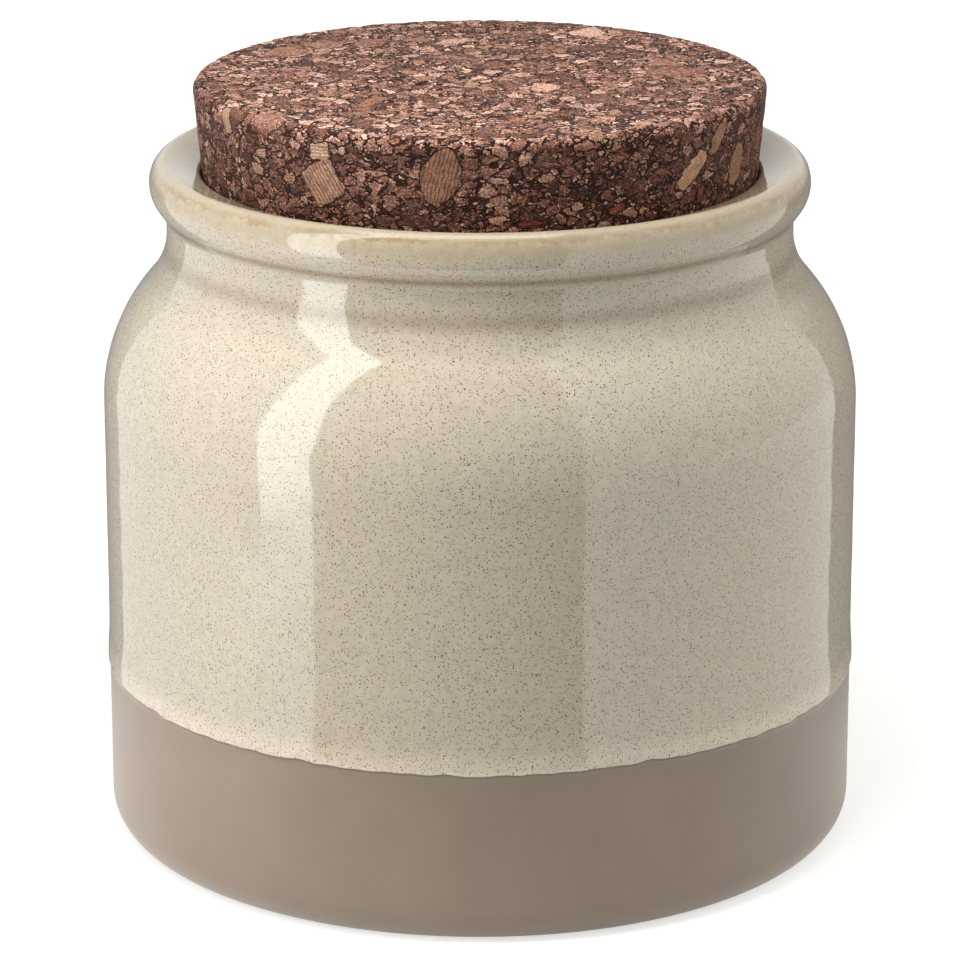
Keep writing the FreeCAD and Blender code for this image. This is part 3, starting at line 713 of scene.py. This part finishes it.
def makeCorkMaterial():
    # agglomerated cork, pressed and turned: grains of several sizes in a dark binder, paler on top, partly
    # sanded and partly painted light and sheen from above
    material, tree = newMaterial("pressed_cork")
    c = corkFinish
    place = addNode(tree, "TexCoord").outputs["Object"]
    told = {name: addNode(tree, "Attribute", {"attribute_name": name}).outputs["Fac"]
            for name in ("sandedAndLit", "hollowed", "standoutInside", "standoutLines", "standoutR", "standoutG",
                         "standoutB")}
    shake = addNode(tree, "TexNoise", Vector=place, Scale=1 / (c["warpSize"] * mm), Detail=4.0,
                    Roughness=0.6)
    warped = addNode(tree, "VectorMath", timesAdd, i0=shake.outputs["Color"],
                     i1=(c["warp"] * 2 * mm,) * 3, i2=place).outputs[0]
    warped = addNode(tree, "VectorMath", times, i0=warped, i1=(1, 1, c["flatness"])).outputs[0]
    binder = linearColour(c["binder"])
    # each layer of grains covers what lies under it: its tone, its joints, the way it leans and its edge
    under = None
    for size, leftOut, margin, soft, shift in c["layers"]:
        edge, pick, tone, rise = grainLayer(tree, warped, size, shift)
        clear = addNode(tree, "MapRange", Value=edge, i1=margin, i2=margin + soft * 2, i3=0.0, i4=1.0)
        own = (tone, clear.outputs[0], rise, edge)
        if under is None:
            under = own
            continue
        chosen = addNode(tree, "Math", above, i0=pick, i1=leftOut)
        outer = addNode(tree, "Math", above, i0=edge, i1=margin - soft)
        on = addNode(tree, "Math", times, i0=outer.outputs[0], i1=chosen.outputs[0])
        under = [addNode(tree, "Mix", i0=on.outputs[0], i2=below, i3=over).outputs[0]
                 for below, over in zip(under, own)]
    tone, joint, rise, edge = under
    ramps = []
    for stops in (c["tones"], c["sandedAndLitTones"]):
        ramp = addNode(tree, "ValToRGB", Fac=tone)
        marks = ramp.color_ramp.elements
        marks.remove(marks[0])
        for at, (position, hexText) in enumerate(stops):
            mark = marks[0] if at == 0 else marks.new(position)
            mark.position = position
            mark.color = linearColour(hexText)
        ramps.append(ramp.outputs[0])
    # painted light: faces that look up take the paler tones, partly sanding and partly light and sheen from
    # above
    colour = addNode(tree, "Mix", colourMix, i0=told["sandedAndLit"], i6=ramps[0], i7=ramps[1]).outputs[2]
    # painted highlight: a pale rim along each grain's edge, slightly darker towards its middle
    edgeHighlight = addNode(tree, "MapRange", Value=edge, i1=0.2, i2=0.5, i3=1.45, i4=0.95)
    colour = addNode(tree, "Mix", colourTimes, i0=1.0, i6=colour, i7=edgeHighlight.outputs[0]).outputs[2]
    # the listed grains, their edges roughened and their growth lines slightly wavy
    fray = addNode(tree, "Math", timesAdd, i0=shake.outputs[0], i1=1.6, i2=told["standoutInside"])
    core = addNode(tree, "MapRange", Value=fray.outputs[0], i1=0.92, i2=1.06, i3=0.0, i4=1.0)
    hull = addNode(tree, "MapRange", Value=fray.outputs[0], i1=0.74, i2=0.80, i3=0.0, i4=1.0)
    sway = addNode(tree, "Math", timesAdd, i0=shake.outputs[0], i1=1.5, i2=told["standoutLines"])
    wave = addNode(tree, "Math", times, i0=sway.outputs[0], i1=2 * np.pi)
    wave = addNode(tree, "Math", {"operation": "SINE"}, i0=wave.outputs[0])
    ring = addNode(tree, "MapRange", Value=wave.outputs[0], i1=0.1, i2=0.9, i3=1.08, i4=0.45)
    tint = addNode(tree, "CombineColor", Red=told["standoutR"], Green=told["standoutG"],
                   Blue=told["standoutB"])
    tint = addNode(tree, "Mix", colourTimes, i0=1.0, i6=tint.outputs[0], i7=ring.outputs[0]).outputs[2]
    colour = addNode(tree, "Mix", colourMix, i0=hull.outputs[0], i6=colour, i7=tint).outputs[2]
    joint = addNode(tree, "Mix", i0=hull.outputs[0], i2=joint, i3=core.outputs[0]).outputs[0]
    dark = addNode(tree, "MapRange", Value=joint, i1=0.0, i2=1.0, i3=1.0, i4=0.0)
    colour = addNode(tree, "Mix", colourMix, i0=dark.outputs[0], i6=colour, i7=binder).outputs[2]
    # dust and torn cells, finer than a grain
    fleck = addNode(tree, "TexNoise", Vector=warped, Scale=1 / (c["fleck"] * mm), Detail=2.0, Roughness=0.7)
    grainy = addNode(tree, "MapRange", Value=fleck.outputs[0], i1=0.38, i2=0.62, i3=0.55, i4=1.42)
    colour = addNode(tree, "Mix", colourTimes, i0=1.0, i6=colour, i7=grainy.outputs[0]).outputs[2]
    # painted shade: dark in the pits, in the binder's colour
    pitShade = addNode(tree, "MapRange", Value=told["hollowed"], i1=0.35, i2=1.0, i3=0.0, i4=0.9)
    colour = addNode(tree, "Mix", colourMix, i0=pitShade.outputs[0], i6=colour, i7=binder).outputs[2]
    # the bump adds up the joints, the flecks and each grain's lean
    rough = addNode(tree, "Math", timesAdd, i0=fleck.outputs[0], i1=0.5, i2=joint)
    slanted = addNode(tree, "Math", timesAdd, i0=rise, i1=c["grainLean"] / (c["relief"] * mm),
                      i2=rough.outputs[0])
    bump = addNode(tree, "Bump", Strength=1.0, Distance=c["relief"] * mm, Height=slanted.outputs[0])
    shader = addNode(tree, "BsdfPrincipled", Base_Color=colour, Roughness=c["roughness"],
                     Specular_IOR_Level=c["gloss"], Normal=bump.outputs[0])
    addNode(tree, "OutputMaterial", Surface=shader.outputs[0])
    return material


jar.data.materials.append(makeClayMaterial())
jar.data.materials.append(makeGlazeMaterial())
cork.data.materials.append(makeCorkMaterial())
for piece, node, slot in ((jar, "jar", "glazed_stoneware"), (cork, "cork_lid", "cork")):
    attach(piece, "root")
    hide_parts(node)
print("finishes made")

# floor, light and cards
studio = {
    "sky": 0.50,                # what the room adds to matt surfaces
    "floorColour": "#CFCDCA",
    "floorLift": (0.60, 0.84),  # brings the floor to white where the eye sees it, near the jar and far off
    "floorFade": (120, 420),
    "floorHalf": 3000,
    "floorDrop": 0.02,          # the floor lies this far below the foot
    # the key: a near strip that only reflections see, and behind it the light for matt surfaces
    "stripAt": (-119.2, -119.4),
    "stripSize": (79, 405),
    "stripLean": 12.2,
    "stripRoll": -2.8,
    "stripFade": (0, 30),
    "stripRadiance": 3.9,
    "keyAt": (-172, -118),
    "keySize": (92, 320),
    "keyLean": 8,
    "keyRadiance": 4.1,
    "litSide": (-30, -50),      # both face this place on the jar's lit side
    # a broad fill from the right, slightly warm
    "fillAzimuth": 100,
    "fillAway": 700,
    "fillHeight": 380,
    "fillLooksAt": 60,
    "fillSize": (700, 700),
    "fillRadiance": 1.5,
    "fillColour": "#FFFAEF",
    # a panel overhead that only reflections see, and a small lamp above the lid's front for matt surfaces
    "overAt": (-30, -40, 430),
    "overSize": (240, 120),
    "overRadiance": 3.0,
    "frontAt": (-20, -90, 285),
    "frontLooksAt": 80,
    "frontSize": (110, 110),
    "frontRadiance": 9.6,
    # cards that only reflections see: azimuths, radius, heights where the tone starts and stops rising, tones
    "cards": {
        "front_card": (-40.2, 24.4, 140, 220, 340, 0.03, 0.6),
        "right_flag": (101.6, 180, 100, 98, 118, 0.22, 1.0),
        "left_flag": (-180, -109, 100, 98, 118, 0.28, 1.0),
    },
    "cardColumns": 48,
}


def panelLight(name, centre, target, size, radiance):
    # power of a flat lamp: radiance times pi times its area
    wide, tall = size
    data = bpy.data.lights.new(name, "AREA")
    data.shape = "RECTANGLE"
    data.size = wide * mm
    data.size_y = tall * mm
    data.energy = radiance * np.pi * wide * tall * mm * mm
    lamp = bpy.data.objects.new(name, data)
    bpy.context.scene.collection.objects.link(lamp)
    lamp.location = Vector(centre) * mm
    lamp.rotation_euler = (Vector(target) * mm - lamp.location).to_track_quat("-Z", "Y").to_euler()
    return lamp


def uprightLight(name, place, size, lean, radiance):
    # a tall lamp that stands on the floor, faces the jar's lit side and leans towards it by some degrees:
    # it looks lower than its own middle by the distance times the tangent of the lean
    goal = studio["litSide"]
    middle = size[1] / 2
    drop = np.hypot(place[0] - goal[0], place[1] - goal[1]) * np.tan(np.radians(lean))
    return panelLight(name, (*place, middle), (*goal, middle - drop), size, radiance)


def fadeUpwards(lamp, heights):
    # the lamp's lower edge fades in between two heights
    lamp.data.use_nodes = True
    tree = lamp.data.node_tree
    tree.nodes.clear()
    place = addNode(tree, "NewGeometry").outputs["Position"]
    up = addNode(tree, "SeparateXYZ", Vector=place).outputs["Z"]
    share = addNode(tree, "MapRange", smooth, Value=up, i1=heights[0] * mm, i2=heights[1] * mm,
                    i3=0.0, i4=1.0)
    glow = addNode(tree, "Emission", Color=(1, 1, 1, 1), Strength=share.outputs[0])
    addNode(tree, "OutputLight", Surface=glow.outputs[0])


def around(azimuth, distance):
    # azimuth in degrees from the front, positive to the right
    turn = np.radians(azimuth)
    return distance * np.sin(turn), -distance * np.cos(turn)


def reflectionCard(name, start, end, radius, low, high, dark, bright):
    # a curved card that only reflections see: an arc of azimuths carried straight up, brighter near its top
    columns = studio["cardColumns"]
    x, y = around(np.linspace(start, end, columns), radius)
    points = np.vstack((np.column_stack((x, y, np.zeros(columns))),
                        np.column_stack((x, y, np.full(columns, high)))))
    here = np.arange(columns - 1)
    faces = np.stack((here, here + 1, here + columns + 1, here + columns), axis=-1)
    mesh = bpy.data.meshes.new(name)
    mesh.from_pydata((points * mm).tolist(), [], faces.tolist())
    card = bpy.data.objects.new(name, mesh)
    bpy.context.scene.collection.objects.link(card)
    material, tree = newMaterial(name)
    place = addNode(tree, "TexCoord").outputs["Object"]
    up = addNode(tree, "SeparateXYZ", Vector=place).outputs["Z"]
    tone = addNode(tree, "MapRange", Value=up, i1=low * mm, i2=high * mm, i3=dark, i4=bright)
    shader = addNode(tree, "Emission", Color=(1, 1, 1, 1), Strength=tone.outputs[0])
    addNode(tree, "OutputMaterial", Surface=shader.outputs[0])
    mesh.materials.append(material)
    card.visible_camera = False
    card.visible_diffuse = False
    card.visible_shadow = False
    card.visible_transmission = False


def seenDirectly(tree):
    # 1 for the eye, for gloss and for clear materials, and 0 for light on matt surfaces
    path = addNode(tree, "LightPath")
    seen = addNode(tree, "Math", {"operation": "MAXIMUM"}, i0=path.outputs["Is Camera Ray"],
                   i1=path.outputs["Is Glossy Ray"])
    return addNode(tree, "Math", {"operation": "MAXIMUM"}, i0=seen.outputs[0],
                   i1=path.outputs["Is Transmission Ray"]).outputs[0]


def makeRoom():
    # the white room: strength 1 for the eye and for gloss, a plain level for matt surfaces
    world = bpy.data.worlds.new("white_room")
    bpy.context.scene.world = world
    world.use_nodes = True
    tree = world.node_tree
    tree.nodes.clear()
    level = addNode(tree, "MapRange", Value=seenDirectly(tree), i1=0.0, i2=1.0, i3=studio["sky"], i4=1.0)
    sky = addNode(tree, "Background", Color=(1, 1, 1, 1), Strength=level.outputs[0])
    addNode(tree, "OutputWorld", Surface=sky.outputs[0])


def makeFloor():
    # a plain pale floor that keeps the jar's shadow and is lifted to white where it is seen
    s = studio
    half = s["floorHalf"] * mm
    mesh = bpy.data.meshes.new("floor")
    corners = [(-half, -half, 0), (half, -half, 0), (half, half, 0), (-half, half, 0)]
    mesh.from_pydata(corners, [], [(0, 1, 2, 3)])
    floor = bpy.data.objects.new("floor", mesh)
    bpy.context.scene.collection.objects.link(floor)
    floor.location.z = -s["floorDrop"] * mm
    material, tree = newMaterial("pale_floor")
    seen = seenDirectly(tree)
    place = addNode(tree, "TexCoord").outputs["Object"]
    away = addNode(tree, "VectorMath", {"operation": "LENGTH"}, i0=place).outputs["Value"]
    lift = addNode(tree, "MapRange", smooth, Value=away, i1=s["floorFade"][0] * mm,
                   i2=s["floorFade"][1] * mm, i3=s["floorLift"][0], i4=s["floorLift"][1])
    lift = addNode(tree, "Math", times, i0=seen, i1=lift.outputs[0])
    matt = addNode(tree, "BsdfDiffuse", Color=linearColour(s["floorColour"]))
    glow = addNode(tree, "Emission", Color=(1, 1, 1, 1), Strength=lift.outputs[0])
    both = addNode(tree, "AddShader", i0=matt.outputs[0], i1=glow.outputs[0])
    addNode(tree, "OutputMaterial", Surface=both.outputs[0])
    mesh.materials.append(material)


def makeLamps():
    # each lamp serves either reflections or matt surfaces
    s = studio
    strip = uprightLight("strip", s["stripAt"], s["stripSize"], s["stripLean"], s["stripRadiance"])
    strip.rotation_euler.rotate_axis("Z", np.radians(s["stripRoll"]))
    fadeUpwards(strip, s["stripFade"])
    strip.visible_diffuse = False
    key = uprightLight("key", s["keyAt"], s["keySize"], s["keyLean"], s["keyRadiance"])
    key.visible_glossy = False
    fillAt = (*around(s["fillAzimuth"], s["fillAway"]), s["fillHeight"])
    fill = panelLight("fill", fillAt, (0, 0, s["fillLooksAt"]), s["fillSize"], s["fillRadiance"])
    fill.data.color = linearColour(s["fillColour"])[:3]
    fill.visible_glossy = False
    over = panelLight("over", s["overAt"], (*s["overAt"][:2], 0), s["overSize"], s["overRadiance"])
    over.visible_diffuse = False
    front = panelLight("front", s["frontAt"], (0, 0, s["frontLooksAt"]), s["frontSize"], s["frontRadiance"])
    front.visible_glossy = False


makeRoom()
makeFloor()
makeLamps()
for name, numbers in studio["cards"].items():
    reflectionCard(name, *numbers)
bpy.context.scene.view_settings.view_transform = "Standard"
print("studio ready")
